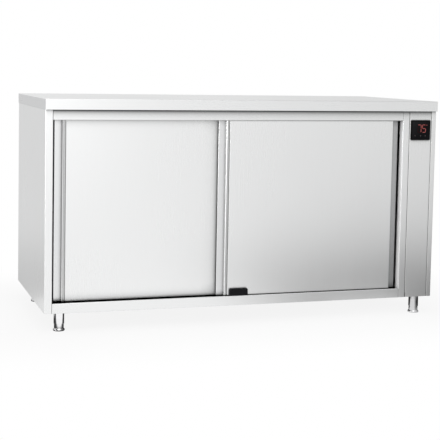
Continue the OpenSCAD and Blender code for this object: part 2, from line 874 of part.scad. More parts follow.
// Bundle in the duct, the leads that leave it, and the controller's loom in its saddles
module wires() {
    x = panel_left + 15;
    z = duct_z + duct_side / 2;
    loom_y = duct_y0 - 70;
    loom_x = panel_left + 6;
    loom_top = glass_z0 + 19;
    element_z = fan_z - element_r * cos(lead_angle);
    color(white_plastic) {
        wire([[x, duct_y0 + 4, z], [x, duct_y0 + duct_slots * duct_slot_pitch, z]], 6);
        for (way = [0 : terminal_ways - 1])
            wire([[panel_left + 18, duct_slot_y(way), terminal_top - 3], [panel_left + 18, duct_slot_y(way), z]]);
        for (end = [0, 1]) {
            lead([panel_left + 29, thermostat[0] + (2 * end - 1) * tab_y, thermostat[1] - 0.5], 1 + 2 * end);
            lead([panel_left + 22, fan_y + (2 * end - 1) * element_r * sin(lead_angle), element_z - 2], 5 + 4 * end);
        }
        for (way = [0 : 3])
            lead([panel_left + 20, contactor_at[0] + contactor_way(way), contactor_at[1]], 13 + way);
        // From the motor's coil over the stack and down beside it
        for (end = [0, 1])
            wire([
                [panel_left + 27, fan_y - 6 + 12 * end, fan_z + 70], [panel_left + 27, fan_y - 6 + 12 * end, fan_z + 84 - 6 * end],
                [panel_left + 27, duct_slot_y(12 - end), fan_z + 84 - 6 * end], [panel_left + 27, duct_slot_y(12 - end), duct_z + 44],
                [panel_left + 18, duct_slot_y(12 - end), duct_z + 36], [panel_left + 18, duct_slot_y(12 - end), z]
            ]);
        wire([
            [panel_left + 16, probe[0], probe[1]], [panel_left + 24, probe[0], probe[1]], [panel_left + 24, probe[0], duct_z + 44],
            [panel_left + 18, duct_slot_y(-5), duct_z + 36], [panel_left + 18, duct_slot_y(-5), z]
        ]);
        wire([
            [glass_x, case_front + 52, loom_top], [glass_x, loom_y, loom_top], [loom_x, loom_y, loom_top - 60],
            [loom_x, loom_y, z + 20], [x, loom_y + 40, z], [x, duct_y0 + 6, z]
        ], 4);
        for (i = [0 : 2])
            block([panel_left, loom_y - 8, duct_z + 80 + i * 110], [loom_x + 5.5, loom_y + 8, duct_z + 88 + i * 110]);
    }
}

glass_z1 = case_top - glass_drop;
glass_z0 = glass_z1 - glass_h;
glass_x = (panel_left + panel_right) / 2;

module control_panel() {
    seam = 0.45;
    cutout_half = 39;
    flange_d = 14;
    color(steel)
        difference() {
            union() {
                upright_sheet([
                    [panel_left + seam + sheet / 2, case_front + flange_d],
                    [panel_left + seam + sheet / 2, case_front + sheet / 2],
                    [panel_right - seam - sheet / 2, case_front + sheet / 2],
                    [panel_right - seam - sheet / 2, case_front + flange_d]
                ], case_bottom + base_edge + 1, case_top - 0.5);
                // The face alone runs on down over the base pan's edge
                block([panel_left + seam + 1.5, case_front, case_bottom + 0.5],
                    [panel_right - seam - 1.5, case_front + sheet, case_bottom + base_edge + 2]);
            }
            block([glass_x - cutout_half, case_front - 1, glass_z0 + 4], [glass_x + cutout_half, case_front + 3, glass_z1 - 4]);
        }
}

// Front of the controller: a frame with rounded corners round the slightly sunk glass
module controller_glass() {
    r = 3;
    frame_w = 4.2;
    glass_t = 2.2;
    color(black)
        difference() {
            translate([0, case_front, 0]) rotate([90, 0, 0]) linear_extrude(3)
                intersection() {
                    polygon(arch(glass_x - glass_w / 2, glass_x + glass_w / 2, glass_z0, glass_z1, r));
                    translate([0, glass_z0 + glass_z1]) mirror([0, 1])
                        polygon(arch(glass_x - glass_w / 2, glass_x + glass_w / 2, glass_z0, glass_z1, r));
                }
            block([glass_x - glass_w / 2 + frame_w, case_front - 4, glass_z0 + frame_w],
                [glass_x + glass_w / 2 - frame_w, case_front - glass_t, glass_z1 - frame_w]);
        }
}

// Housing behind the glass: vents in both sides, brackets behind the panel, terminals at the rear
module controller_housing() {
    half = 38;
    back = case_front + 42;
    row_d = 10;
    row_h = 14;
    ways = 8;
    rows = [glass_z0 + 12, glass_z1 - 12 - row_h];
    color(charcoal)
        difference() {
            union() {
                block([glass_x - half, case_front, glass_z0 + 5], [glass_x + half, back, glass_z1 - 5]);
                for (z = rows)
                    block([glass_x - 32, back, z], [glass_x + 32, back + row_d, z + row_h]);
                for (side = [-1, 1])
                    translate([glass_x + side * (half + 1), case_front + sheet + 9.2, (glass_z0 + glass_z1) / 2])
                        cube([6, 18, 20], center = true);
            }
            for (side = [-1, 1], i = [0 : 5])
                translate([glass_x + side * half, case_front + 27, glass_z0 + 22 + i * 7])
                    cube([3, 18, 3], center = true);
            for (z = rows, way = [0 : ways - 1])
                translate([glass_x - 28 + way * 8, back + row_d + 1, z + row_h / 2]) rotate([90, 0, 0])
                    cylinder(h = 7, r = 2);
        }
}

cover_x0 = panel_left - 19.5;
cover_x1 = case_right - sheet;
cover_z0 = case_bottom + 1;
cover_z1 = case_top - 1;

module each_cover_screw() {
    for (x = [cover_x0 + 8, cover_x1 - 10], i = [0 : 3])
        translate([x, case_back, cover_z0 + 30 + i * (cover_z1 - cover_z0 - 60) / 3]) rotate([90, 0, 0]) children();
}

module cover_screw_holes(r) {
    each_cover_screw() translate([0, 0, -3]) cylinder(h = 12, r = r);
}

// Rear cover of the control bay, with two blocks of inward louvres
module service_cover() {
    slot_x0 = cover_x0 + 32;
    slot_x1 = cover_x1 - 32;
    slot_h = 6.5;
    pitch = 20;
    blade_in = 7;
    blade_down = 8.5;
    root = 0.2;
    mid_y = case_back - sheet / 2;
    blocks = [case_bottom + 90, case_top - 260];
    color(steel)
        difference() {
            union() {
                difference() {
                    block([cover_x0, skin_back, cover_z0], [cover_x1, case_back, cover_z1]);
                    for (z0 = blocks, i = [0 : louvres - 1])
                        block([slot_x0, skin_back - 1, z0 + i * pitch], [slot_x1, case_back + 1, z0 + i * pitch + slot_h]);
                }
                // Blades bent inwards from the upper edge of each slot
                for (z0 = blocks, i = [0 : louvres - 1]) {
                    top = z0 + i * pitch + slot_h;
                    crosswise_sheet([[mid_y, top + 2], [mid_y, top - 1], [mid_y - blade_in, top - 1 - blade_down]],
                        slot_x0 + root, slot_x1 - root, sheet - 2 * root);
                }
            }
            cover_screw_holes(2.2);
        }
}

module cover_screws() {
    color(zinc)
        each_cover_screw() {
            translate([0, 0, -1.8]) cylinder(h = 1.8, r1 = 3.2, r2 = 4.4);
            translate([0, 0, -0.1]) cylinder(h = 8, r = 2);
        }
}

// Cable gland in the floor of the bay: locknut inside, body and dome nut outside
module cable_gland() {
    nut_r = 14;
    thread_top = 12;
    hexagon_h = 8;
    cord_r = 5;
    color(black)
        translate([gland[0], gland[1], case_bottom])
            difference() {
                union() {
                    translate([0, 0, sheet]) cylinder(h = 5, r = nut_r, $fn = 6);
                    cylinder(h = thread_top, r = gland_r);
                    translate([0, 0, -hexagon_h]) cylinder(h = hexagon_h, r = nut_r, $fn = 6);
                    translate([0, 0, -20]) cylinder(h = 20 - hexagon_h, r1 = 8.5, r2 = 12);
                }
                translate([0, 0, -21]) cylinder(h = 22 + thread_top, r = cord_r);
            }
}

// ---- Feet ----

module foot_plates() {
    plate = [60, 50, 3];
    boss_r = 14;
    boss_h = 17;
    color(steel_dark)
        for (x = foot_xs, y = foot_ys)
            translate([x, y, case_bottom + sheet])
                difference() {
                    union() {
                        translate([-plate[0] / 2, -plate[1] / 2, 0]) cube(plate);
                        cylinder(h = boss_h, r = boss_r);
                    }
                    translate([0, 0, -1]) cylinder(h = boss_h + 3, r = foot_stud_r + 0.05);
                }
}

// Fixed tube of a foot: a thick head with a hollow stud that screws into the foot plate
module foot_tubes() {
    color(steel)
        for (x = foot_xs, y = foot_ys)
            translate([x, y, 0])
                difference() {
                    union() {
                        translate([0, 0, foot_tube_bottom]) cylinder(h = case_bottom - foot_tube_bottom, r = foot_tube_r);
                        translate([0, 0, case_bottom - 1]) cylinder(h = 19, r = foot_stud_r);
                    }
                    translate([0, 0, foot_tube_bottom - 1]) cylinder(h = case_bottom - 10 - foot_tube_bottom + 1, r = foot_neck_r + 0.3);
                    translate([0, 0, foot_tube_bottom]) cylinder(h = case_bottom, r = foot_stem_r + 0.05);
                }
}

// Screw-in base of a foot: flared base, neck and stem
module foot_base(x, y) {
    color(steel)
        translate([x, y, 0])
            rotate_extrude()
                polygon([
                    [0, 0], [foot_base_r - 1.5, 0], [foot_base_r, 1.5], [foot_base_r, 5.5], [foot_neck_r, 9.5],
                    [foot_neck_r, case_bottom - 14], [foot_stem_r, case_bottom - 14],
                    [foot_stem_r, case_bottom + 16], [0, case_bottom + 16]
                ]);
}

module front_left_foot_base() { foot_base(foot_xs[0], foot_ys[0]); }
module front_right_foot_base() { foot_base(foot_xs[1], foot_ys[0]); }
module rear_left_foot_base() { foot_base(foot_xs[0], foot_ys[1]); }
module rear_right_foot_base() { foot_base(foot_xs[1], foot_ys[1]); }

// ---- Doors: modelled from their own lower left corner, then set in their track ----

module left_door_place() { translate([left_door_x, rear_door_y, 0]) children(); }
module right_door_place() { translate([right_door_x, front_door_y, 0]) children(); }

// Middle line of a door's outer sheet in plan, from the rear hem at its left edge round to the right
function door_path() =
    let (
        h = door_sheet / 2,
        strip_y = margin_d + h,
        back_y = door_t - h,
        bead_fold = (bead_w - door_sheet) / 2 - 0.05,
        face_right = door_w - margin_w
    ) [
        [12, back_y], [h, back_y], [h, strip_y],
        [margin_w + h, strip_y], [margin_w + h, h, bead_fold],
        [bead_right - h, h, bead_fold], [bead_right - h, groove_d + h],
        [face_left + h, groove_d + h], [face_left + h, h],
        [face_right - h, h], [face_right - h, strip_y],
        [door_w - h, strip_y], [door_w - h, back_y], [door_w - 12, back_y]
    ];

module hanger_pockets(clearance) {
    for (x = hanger_stations)
        block([x - hanger_w / 2 - clearance, door_sheet, door_top - hanger_drop - clearance],
            [x + hanger_w / 2 + clearance, door_sheet + hanger_t + clearance, door_top + 1]);
}

module door_skin() {
    h = door_sheet / 2;
    rear = door_t - door_sheet;
    color(steel)
        difference() {
            union() {
                upright_sheet(door_path(), door_bottom, door_top, door_sheet, 1.2);
                // Folded-in caps that close the top and the bottom
                for (z = [door_bottom, door_top - door_sheet]) {
                    block([h, margin_d + h, z], [door_w - h, rear, z + door_sheet]);
                    block([face_left + h, h, z], [door_w - margin_w - h, margin_d + door_sheet, z + door_sheet]);
                }
            }
            hanger_pockets(0.2);
        }
}

module door_back() {
    y = door_t - 2 * door_sheet;
    color(zinc)
        block([door_sheet + 0.8, y, door_bottom + door_sheet], [door_w - door_sheet - 0.8, y + door_sheet, door_top - door_sheet]);
}

module door_core() {
    color(wool)
        difference() {
            block([face_left + door_sheet + 0.3, door_sheet + 0.1, door_bottom + door_sheet + 0.3],
                [door_w - margin_w - door_sheet - 0.3, door_t - 2 * door_sheet - 0.1, door_top - door_sheet - 0.3]);
            hanger_pockets(0.2);
        }
}

// Hanger plates welded behind the face, each with a stub axle for a roller
module door_hangers() {
    axle_end = roller_y1 + running_gap + 1.2;
    plate_top = axle_z + 8;
    collar_r = 5;
    color(zinc)
        for (x = hanger_stations) {
            difference() {
                block([x - hanger_w / 2, door_sheet, door_top - hanger_drop], [x + hanger_w / 2, door_sheet + hanger_t, plate_top]);
                // Upper corners cut at 45 degrees
                for (side = [-1, 1])
                    translate([x + side * hanger_w / 2, 0, plate_top]) rotate([0, 45, 0])
                        cube([12, 20, 12], center = true);
            }
            translate([x, door_sheet, axle_z]) rotate([-90, 0, 0]) cylinder(h = axle_end - door_sheet, r = axle_r);
            translate([x, door_sheet + hanger_t, axle_z]) rotate([-90, 0, 0])
                cylinder(h = roller_y0 - running_gap - door_sheet - hanger_t, r = collar_r);
            translate([x, roller_y1 + running_gap, axle_z]) rotate([-90, 0, 0])
                cylinder(h = axle_end - roller_y1 - running_gap, r = collar_r);
        }
}

// Grooved roller on the stub axle at the given station of a door
module door_roller(station) {
    groove = [lip_y - 1.3, lip_y + 1.3];
    rim = [lip_y - 2.1, lip_y + 2.1];
    color(white_plastic)
        translate([station, 0, axle_z]) rotate([-90, 0, 0])
            rotate_extrude()
                polygon([
                    [axle_r + 0.05, roller_y0], [roller_rim_r - 0.5, roller_y0], [roller_rim_r, roller_y0 + 0.5],
                    [roller_rim_r, rim[0]], [roller_groove_r, groove[0]], [roller_groove_r, groove[1]],
                    [roller_rim_r, rim[1]], [roller_rim_r, roller_y1 - 0.5], [roller_rim_r - 0.5, roller_y1],
                    [axle_r + 0.05, roller_y1]
                ]);
}

module left_door_skin() { left_door_place() door_skin(); }
module left_door_back() { left_door_place() door_back(); }
module left_door_core() { left_door_place() door_core(); }
module left_door_hangers() { left_door_place() door_hangers(); }
module left_door_roller_1() { left_door_place() door_roller(hanger_stations[0]); }
module left_door_roller_2() { left_door_place() door_roller(hanger_stations[1]); }
module right_door_skin() { right_door_place() door_skin(); }
module right_door_back() { right_door_place() door_back(); }
module right_door_core() { right_door_place() door_core(); }
module right_door_hangers() { right_door_place() door_hangers(); }
module right_door_roller_1() { right_door_place() door_roller(hanger_stations[0]); }
module right_door_roller_2() { right_door_place() door_roller(hanger_stations[1]); }

worktop();
worktop_stiffeners();
left_side_panel();
right_side_panel();
rear_panel();
base_pan();
top_rail();
bottom_rail();
door_track();
track_stops();
door_guide();
left_liner();
rear_liner();
partition();
bay_liner();
chamber_roof();
chamber_floor();
wall_insulation();
roof_insulation();
floor_insulation();
shelf();
shelf_stiffener();
shelf_posts();
shelf_clips();
air_baffle();
heating_element();
fan_motor();
motor_rotor();
fan_shaft();
fan_wheel();
temperature_probe();
safety_thermostat();
contactor();
terminal_block();
wiring_duct();
wires();
control_panel();
controller_glass();
controller_housing();
service_cover();
cover_screws();
cable_gland();
foot_plates();
foot_tubes();
front_left_foot_base();
front_right_foot_base();
rear_left_foot_base();
rear_right_foot_base();
left_door_skin();
left_door_back();
left_door_core();
left_door_hangers();
left_door_roller_1();
left_door_roller_2();
right_door_skin();
right_door_back();
right_door_core();
right_door_hangers();
right_door_roller_1();
right_door_roller_2();
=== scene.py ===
"""Plate warmer cabinet: finishes, close detail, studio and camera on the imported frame."""
import json
import math

import bpy
from mathutils import Matrix, Vector


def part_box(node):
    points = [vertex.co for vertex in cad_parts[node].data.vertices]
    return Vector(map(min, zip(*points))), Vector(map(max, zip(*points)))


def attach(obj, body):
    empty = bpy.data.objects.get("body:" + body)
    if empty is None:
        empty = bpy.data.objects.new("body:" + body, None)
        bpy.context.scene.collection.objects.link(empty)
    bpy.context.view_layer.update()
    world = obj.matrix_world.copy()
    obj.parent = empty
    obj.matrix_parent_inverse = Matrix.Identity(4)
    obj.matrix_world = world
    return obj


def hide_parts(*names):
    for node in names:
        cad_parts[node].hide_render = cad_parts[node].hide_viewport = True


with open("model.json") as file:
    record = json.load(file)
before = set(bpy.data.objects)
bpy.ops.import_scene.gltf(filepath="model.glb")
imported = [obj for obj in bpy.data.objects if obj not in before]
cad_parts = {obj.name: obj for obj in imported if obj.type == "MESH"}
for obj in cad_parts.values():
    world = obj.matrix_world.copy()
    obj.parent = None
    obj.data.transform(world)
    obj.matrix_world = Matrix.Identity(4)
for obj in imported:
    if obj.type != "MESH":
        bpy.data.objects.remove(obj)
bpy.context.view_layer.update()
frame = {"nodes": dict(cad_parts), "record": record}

scene = bpy.context.scene
body_of_node = {node: body for body, nodes in frame["record"]["behaviour"]["bodies"].items() for node in nodes}
slot_of_node = {part["node"]: part["material_slot"] for part in frame["record"]["subparts"]}


# ---------------------------------------------------------------- camera

PICTURE_WIDTH_PX = 440
SENSOR_WIDTH_MM = 36


def place_camera(eye, yaw, pitch, roll, focal_px, shift):
    """Camera at eye, turned by yaw from +Y towards +X, tipped down by pitch and rolled, all in degrees."""
    yaw, pitch, roll = (math.radians(a) for a in (yaw, pitch, roll))
    ahead = Vector((math.sin(yaw) * math.cos(pitch), math.cos(yaw) * math.cos(pitch), -math.sin(pitch)))
    right = Vector((math.cos(yaw), -math.sin(yaw), 0))
    up = right.cross(ahead)
    right_rolled = right * math.cos(roll) + up * math.sin(roll)
    up_rolled = up * math.cos(roll) - right * math.sin(roll)
    lens = bpy.data.cameras.new("photo_camera")
    lens.sensor_width = SENSOR_WIDTH_MM
    lens.lens = focal_px * SENSOR_WIDTH_MM / PICTURE_WIDTH_PX
    lens.shift_x, lens.shift_y = shift
    lens.clip_end = 100
    camera = bpy.data.objects.new("photo_camera", lens)
    scene.collection.objects.link(camera)
    turn = Matrix((right_rolled, up_rolled, -ahead)).transposed()
    camera.matrix_world = Matrix.Translation(eye) @ turn.to_4x4()
    scene.camera = camera


place_camera(
    eye=(-1.4763, -4.4371, 1.0000), yaw=16.915, pitch=4.278, roll=0.978, focal_px=1125.8, shift=(0.06, -0.16)
)


# ---------------------------------------------------------------- working in edit mode

def only(piece):
    """Makes the piece the one selected and active object."""
    bpy.ops.object.select_all(action="DESELECT")
    piece.select_set(True)
    bpy.context.view_layer.objects.active = piece


def edit(piece, kind, test):
    """Opens the piece in edit mode with just the corners, edges or faces selected that the test picks."""
    only(piece)
    groups = {"VERT": piece.data.vertices, "EDGE": piece.data.edges, "FACE": piece.data.polygons}
    bpy.context.tool_settings.mesh_select_mode = [kind == one for one in groups]
    for group in groups.values():
        group.foreach_set("select", [False] * len(group))
    for element in groups[kind]:
        element.select = test(element)
    bpy.ops.object.mode_set(mode="EDIT")


def close_edit():
    bpy.ops.object.mode_set(mode="OBJECT")


def apply_all(piece):
    only(piece)
    for modifier in list(piece.modifiers):
        bpy.ops.object.modifier_apply(modifier=modifier.name)


def soften(piece, width, smooth=30):
    """Breaks the sharp edges, shades the folds and rounds smooth, and keeps the flat faces flat."""
    only(piece)
    if width:
        edges = piece.modifiers.new("broken_edges", "BEVEL")
        edges.width = width
        edges.segments = 2
        edges.limit_method = "ANGLE"
        edges.angle_limit = math.radians(35)
        edges.use_clamp_overlap = True
        apply_all(piece)
    only(piece)
    bpy.ops.object.shade_smooth_by_angle(angle=math.radians(smooth))
    normals = piece.modifiers.new("flat_faces", "WEIGHTED_NORMAL")
    normals.keep_sharp = True
    normals.weight = 100
    apply_all(piece)


def settle(piece, body, slot, *nodes):
    """Puts the piece on its body and hides the CAD nodes that it stands for; the finish slot is not used."""
    only(piece)
    bpy.ops.object.transform_apply(location=True, rotation=True, scale=True)
    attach(piece, body)
    if nodes:
        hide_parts(*nodes)


def block(name, low, high):
    """Rectangular blank between two corners."""
    low, high = Vector(low), Vector(high)
    bpy.ops.object.select_all(action="DESELECT")
    bpy.ops.mesh.primitive_cube_add(size=1, location=(low + high) / 2)
    piece = bpy.context.active_object
    piece.name = piece.data.name = name
    piece.scale = high - low
    bpy.ops.object.transform_apply(location=True, rotation=True, scale=True)
    return piece


def turned_blank(name, centre, radius, depth, sides, axis):
    """Round blank whose axis lies along X, Y or Z."""
    turn = {"X": (0, math.pi / 2, 0), "Y": (math.pi / 2, 0, 0), "Z": (0, 0, 0)}[axis]
    bpy.ops.object.select_all(action="DESELECT")
    bpy.ops.mesh.primitive_cylinder_add(vertices=sides, radius=radius, depth=depth, location=centre, rotation=turn)
    piece = bpy.context.active_object
    piece.name = piece.data.name = name
    bpy.ops.object.transform_apply(location=True, rotation=True, scale=True)
    return piece


def join(name, pieces):
    bpy.ops.object.select_all(action="DESELECT")
    for piece in pieces:
        piece.select_set(True)
    bpy.context.view_layer.objects.active = pieces[0]
    bpy.ops.object.join()
    pieces[0].name = pieces[0].data.name = name
    return pieces[0]


def pressed(node, material, edge=0.0003):
    """The CAD node's sheet or casting with its corners merged and its cut edges broken."""
    name = node + "_finished"
    piece = bpy.data.objects.new(name, frame["nodes"][node].data.copy())
    piece.data.name = name
    scene.collection.objects.link(piece)
    piece.data.materials.clear()
    piece.data.materials.append(material)
    edit(piece, "VERT", lambda corner: True)
    bpy.ops.mesh.remove_doubles(threshold=0.00001)
    bpy.ops.mesh.dissolve_limited(angle_limit=math.radians(0.5))
    close_edit()
    for face in piece.data.polygons:
        face.material_index = 0
    soften(piece, edge)
    settle(piece, body_of_node[node], slot_of_node[node], node)


def finished(node):
    return bpy.data.objects[node + "_finished"]


def dress(piece, material, test):
    """Gives another material to the faces that the test picks, and returns those faces."""
    piece.data.materials.append(material)
    picked = [face for face in piece.data.polygons if test(face)]
    for face in picked:
        face.material_index = len(piece.data.materials) - 1
    return picked


# ---------------------------------------------------------------- nodes

class NodeTree:
    """Short calls that add nodes to a tree and return their outputs."""

    def __init__(self, tree):
        self.tree = tree

    def new(self, kind, **settings):
        node = self.tree.nodes.new(kind)
        for name, value in settings.items():
            setattr(node, name, value)
        return node

    def feed(self, value, socket):
        """Sets the socket to a number, or links another node's output to it."""
        if isinstance(value, (int, float)):
            socket.default_value = value
        else:
            self.tree.links.new(value, socket)

    def math(self, operation, a, b=0.0):
        node = self.new("ShaderNodeMath", operation=operation)
        self.feed(a, node.inputs[0])
        self.feed(b, node.inputs[1])
        return node.outputs[0]

    def plus(self, a, b):
        return self.math("ADD", a, b)

    def minus(self, a, b):
        return self.math("SUBTRACT", a, b)

    def larger(self, a, b):
        return self.math("MAXIMUM", a, b)

    def times(self, first, *others):
        for other in others:
            first = self.math("MULTIPLY", first, other)
        return first

    def spread(self, value, low, high, start=0.3, end=0.7, interpolation="LINEAR"):
        """Runs from low to high while the value goes from start to end."""
        node = self.new("ShaderNodeMapRange", interpolation_type=interpolation)
        for socket, number in (("From Min", start), ("From Max", end), ("To Min", low), ("To Max", high)):
            node.inputs[socket].default_value = number
        self.feed(value, node.inputs["Value"])
        return node.outputs["Result"]

    def ease(self, value, start, end, low, high):
        return self.spread(value, low, high, start, end, "SMOOTHSTEP")

    def band(self, value, rise, fall, height=1.0):
        """Rises from 0 to height over the first range and falls to 0 again over the second."""
        return self.times(self.ease(value, *rise, 0.0, height), self.ease(value, *fall, 1.0, 0.0))

    def parts(self, vector):
        node = self.new("ShaderNodeSeparateXYZ")
        self.feed(vector, node.inputs["Vector"])
        return node.outputs


class Finish(NodeTree):
    """A material with one shader, and short calls for the textures that feed it."""

    def __init__(self, name, colour, metallic, roughness, **sockets):
        self.material = bpy.data.materials.new(name)
        self.material.use_nodes = True
        super().__init__(self.material.node_tree)
        self.shader = self.tree.nodes["Principled BSDF"]
        self.shader.inputs["Base Color"].default_value = (*colour, 1)
        self.shader.inputs["Metallic"].default_value = metallic
        self.shader.inputs["Roughness"].default_value = roughness
        for socket, value in sockets.items():
            self.shader.inputs[socket.replace("_", " ")].default_value = value

    def to(self, socket, value):
        self.feed(value, self.shader.inputs[socket])

    def place(self, scale=(1, 1, 1)):
        mapping = self.new("ShaderNodeMapping")
        mapping.inputs["Scale"].default_value = scale
        self.feed(self.new("ShaderNodeTexCoord").outputs["Object"], mapping.inputs["Vector"])
        return mapping.outputs["Vector"]

    def noise(self, vector, scale=1.0, detail=2.0, rough=0.5):
        node = self.new("ShaderNodeTexNoise")
        for socket, number in (("Scale", scale), ("Detail", detail), ("Roughness", rough)):
            node.inputs[socket].default_value = number
        self.feed(vector, node.inputs["Vector"])
        return node.outputs["Fac"]

    def ramp(self, value, *stops):
        node = self.new("ShaderNodeValToRGB")
        elements = node.color_ramp.elements
        while len(elements) < len(stops):
            elements.new(0.5)
        for element, (position, colour) in zip(elements, stops):
            element.position = position
            element.color = (*colour, 1)
        self.feed(value, node.inputs["Fac"])
        return node.outputs["Color"]

    def bump(self, height, strength, distance):
        node = self.new("ShaderNodeBump")
        node.inputs["Strength"].default_value = strength
        node.inputs["Distance"].default_value = distance
        self.feed(height, node.inputs["Height"])
        self.to("Normal", node.outputs["Normal"])

    def scaled(self, colour, factor):
        node = self.new("ShaderNodeVectorMath", operation="SCALE")
        self.feed(colour, node.inputs[0])
        self.feed(factor, node.inputs["Scale"])
        return node.outputs["Vector"]

    def recess(self, colour, reach, depth, open_at=0.70, shut_at=0.15):
        """Paints shade into a colour where ambient occlusion finds the surface in a corner, a seam or a recess."""
        node = self.new("ShaderNodeAmbientOcclusion", samples=12)
        node.inputs["Distance"].default_value = reach
        return self.scaled(colour, self.spread(node.outputs["AO"], 1 - depth, 1.0, shut_at, open_at))

    def beside(self, colour, direction, reach):
        """Paints a shadow into a colour where something stands out in front of the sheet on one side of it."""
        node = self.new("ShaderNodeAmbientOcclusion", samples=16)
        node.inputs["Distance"].default_value = reach
        towards = self.new("ShaderNodeCombineXYZ")
        for axis, value in zip("XYZ", direction):
            towards.inputs[axis].default_value = value
        self.feed(towards.outputs["Vector"], node.inputs["Normal"])
        return self.scaled(colour, self.spread(node.outputs["AO"], 0.30, 1.0, 0.16, 0.66))


# ---------------------------------------------------------------- finishes

# Scale of the grinding lines: long along the named axis and fine across it
GRAIN = {"X": (5, 620, 620), "Y": (620, 5, 620), "Z": (620, 620, 5)}


def shade(colour, factor):
    return tuple(min(1, part * factor) for part in colour)


def satin_steel(name, grain, colour=(0.855, 0.86, 0.86), roughness=0.30, cloud=0.03,
                reach=0.028, depth=0.92, open_at=0.96, shut_at=0.42, beside=None):
    """Ground stainless sheet: fine lines along one axis, with a slow change of sheen from rolling and wiping; shade is
    painted into its colour in seams and recesses and, where asked, beside raised parts.
    """
    f = Finish(name, colour, 1.0, roughness)
    lines = f.noise(f.place(GRAIN[grain]), 1.0, 3.0, 0.65)
    clouds = f.noise(f.place(), 1.7, 2.0, 0.45)
    ground = f.ramp(lines, (0.30, shade(colour, 0.988)), (0.70, shade(colour, 1.008)))
    # Painted shadow beside a raised part, then painted shade in seams and recesses
    if beside:
        ground = f.beside(ground, *beside)
    f.to("Base Color", f.recess(ground, reach, depth, open_at, shut_at))
    f.to("Roughness", f.plus(f.spread(lines, -0.015, 0.015), f.spread(clouds, roughness - cloud, roughness + cloud)))
    f.bump(lines, 0.016, 0.00005)
    return f.material


def plated(name, colour, roughness, spangle):
    """Zinc-plated or mill sheet: a faint patchwork of crystals with no lines."""
    f = Finish(name, colour, 1.0, roughness)
    cells = f.new("ShaderNodeTexVoronoi")
    cells.inputs["Scale"].default_value = spangle
    f.feed(f.place(), cells.inputs["Vector"])
    crystals = cells.outputs["Distance"]
    ground = f.ramp(crystals, (0.0, shade(colour, 0.93)), (0.8, shade(colour, 1.04)))
    # Painted shade in seams and recesses
    f.to("Base Color", f.recess(ground, 0.05, 0.85))
    f.to("Roughness", f.spread(f.noise(f.place(), 14, 3), roughness - 0.07, roughness + 0.07))
    f.bump(crystals, 0.05, 0.0001)
    return f.material


def turned_metal(name, axis, colour, roughness, pitch=900, edge_tint=0.8):
    """Metal turned or polished on a lathe: fine rings across the axis."""
    across = [pitch if one == axis else 8 for one in "XYZ"]
    f = Finish(name, colour, 1.0, roughness, Specular_Tint=(edge_tint, edge_tint, edge_tint, 1))
    rings = f.noise(f.place(across))
    f.to("Base Color", f.ramp(rings, (0.3, shade(colour, 0.94)), (0.7, shade(colour, 1.03))))
    f.to("Roughness", f.spread(rings, roughness - 0.03, roughness + 0.05))
    f.bump(rings, 0.05, 0.00003)
    return f.material


def moulding(name, colour, roughness, grain=2600, strength=0.25, gloss=0.5):
    """Moulded plastic: a fine spark-eroded grain and slight rubbing marks."""
    f = Finish(name, colour, 0.0, roughness, Specular_IOR_Level=gloss)
    pores = f.noise(f.place(), grain, 2.0, 0.6)
    rubs = f.noise(f.place((60, 60, 400)), 1.0, 3.0)
    f.to("Base Color", f.ramp(rubs, (0.35, colour), (0.8, shade(colour, 1.5))))
    f.to("Roughness", f.spread(rubs, roughness - 0.06, roughness + 0.08))
    f.bump(pores, strength, 0.0001)
    return f.material


def fibre_mat(name):
    """Mineral wool: matted fibres in straw yellow."""
    f = Finish(name, (0.62, 0.50, 0.22), 0.0, 0.95)
    fibres = f.noise(f.place((160, 900, 220)), 1.0, 6.0, 0.7)
    tufts = f.noise(f.place(), 28, 4.0, 0.6)
    both = f.plus(f.times(fibres, 0.6), f.times(tufts, 0.4))
    straw = (0.3, (0.42, 0.31, 0.10)), (0.55, (0.66, 0.53, 0.25)), (0.8, (0.82, 0.72, 0.44))
    f.to("Base Color", f.ramp(both, *straw))
    f.bump(both, 0.8, 0.003)
    return f.material


def scorched(name):
    """Heater sheath: dark oxide with straw and blue tints where it runs hottest."""
    f = Finish(name, (0.16, 0.15, 0.15), 0.85, 0.42)
    heat = f.noise(f.place((12, 12, 12)), 1.0, 3.0)
    oxide = (0.30, (0.10, 0.10, 0.12)), (0.52, (0.20, 0.17, 0.15)), (0.72, (0.30, 0.24, 0.17))
    f.to("Base Color", f.ramp(heat, *oxide))
    f.to("Roughness", f.spread(heat, 0.36, 0.52))
    f.bump(f.noise(f.place(), 1800), 0.15, 0.0001)
    return f.material


def display_glass(name, low, high):
    """Smoked glass over the display, with a trace of wiping marks; its colour is painted lighter towards its upper
    left, a painted sheen.
    """
    f = Finish(name, (0.006, 0.006, 0.007), 0.0, 0.06, IOR=1.45, Specular_IOR_Level=0.10)
    wipes = f.noise(f.place((14, 14, 60)), 1.0, 3.0)
    x, _, z = f.parts(f.place())
    # clear is a painted sheen: the glass's colour grows lighter towards its upper left
    clear = f.spread(f.minus(z, x), 0.0, 0.5, low.z - low.x - 0.02, high.z - low.x)
    sheen_and_wipes = f.plus(clear, f.times(wipes, 0.3))
    f.to("Base Color", f.ramp(sheen_and_wipes, (0.15, (0.003, 0.003, 0.004)), (0.75, (0.022, 0.022, 0.024))))
    f.to("Roughness", f.spread(wipes, 0.04, 0.12))
    return f.material


def lit(name, colour, strength, depth=0.12):
    """Lit part of the display, a little uneven as a diode behind a diffuser is."""
    f = Finish(name, (0.03, 0.01, 0.01), 0.0, 0.4, Emission_Strength=strength)
    glow = f.noise(f.place(), 260, 1.0)
    f.to("Emission Color", f.ramp(glow, (0.3, shade(colour, 1 - depth)), (0.7, colour)))
    return f.material


# Where something stands out in front of a sheet: its direction, and how far the painted shadow beside it reaches
under_the_worktop = (0.0, -0.5, 0.866), 0.040
left_of_the_front_door = (0.866, -0.5, 0.0), 0.060

